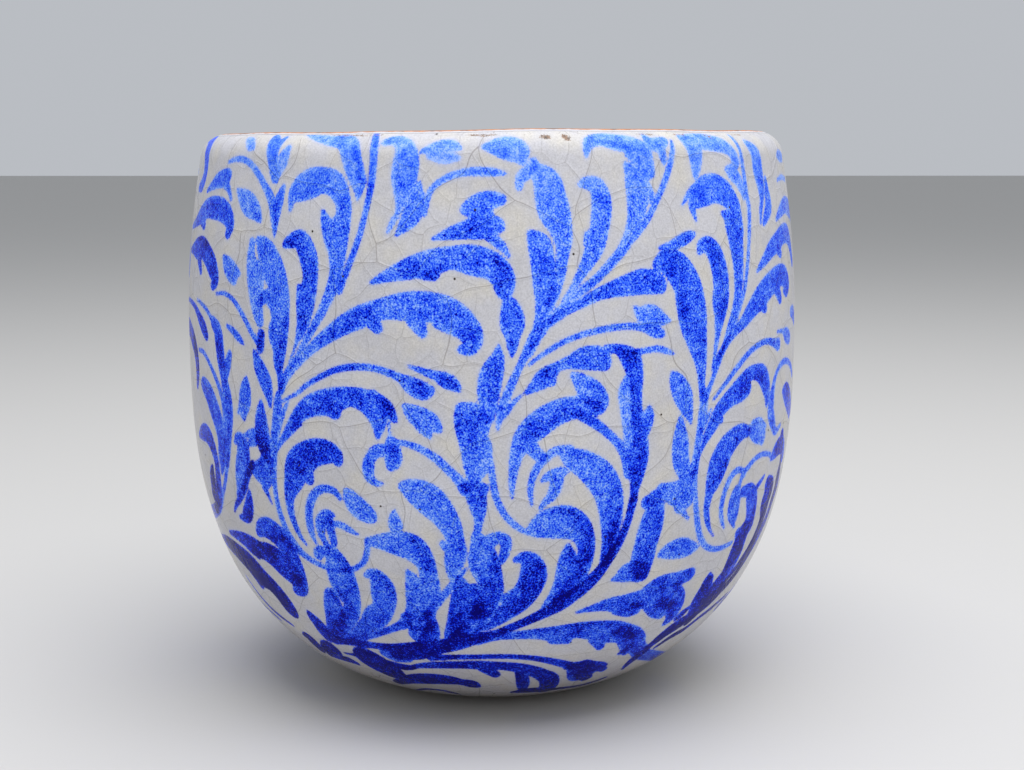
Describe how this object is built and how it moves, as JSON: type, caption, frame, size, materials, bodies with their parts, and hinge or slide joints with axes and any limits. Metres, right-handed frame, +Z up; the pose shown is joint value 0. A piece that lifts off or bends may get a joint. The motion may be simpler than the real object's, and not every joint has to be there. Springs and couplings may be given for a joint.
{
  "type": "talavera pottery vase",
  "caption": "Wide-mouthed, round-bottomed earthenware vase under a crackled white tin glaze with blue painted leaf scrolls, standing on a small bare foot ring.",
  "frame": {"origin": "centre of the circle that the foot ring stands on, at ground height", "axes": "+Z up along the pot's axis; -Y faces the viewer, with the middle of the painted front on it"},
  "size_m": [0.25, 0.25, 0.228],
  "materials": {
    "terracotta": "bare red earthenware, matt and slightly gritty",
    "tin_glaze": "opaque warm white tin glaze, glossy, with fine crackle lines",
    "cobalt_paint": "cobalt blue brushwork sunk in the glaze, mottled and darker where it pooled"
  },
  "bodies": {
    "root": {"clay_floor": "terracotta", "clay_wall": "terracotta", "clay_lip": "terracotta", "foot_ring": "terracotta", "outer_glaze": "tin_glaze", "inner_glaze": "tin_glaze"}
  },
  "joints": []
}
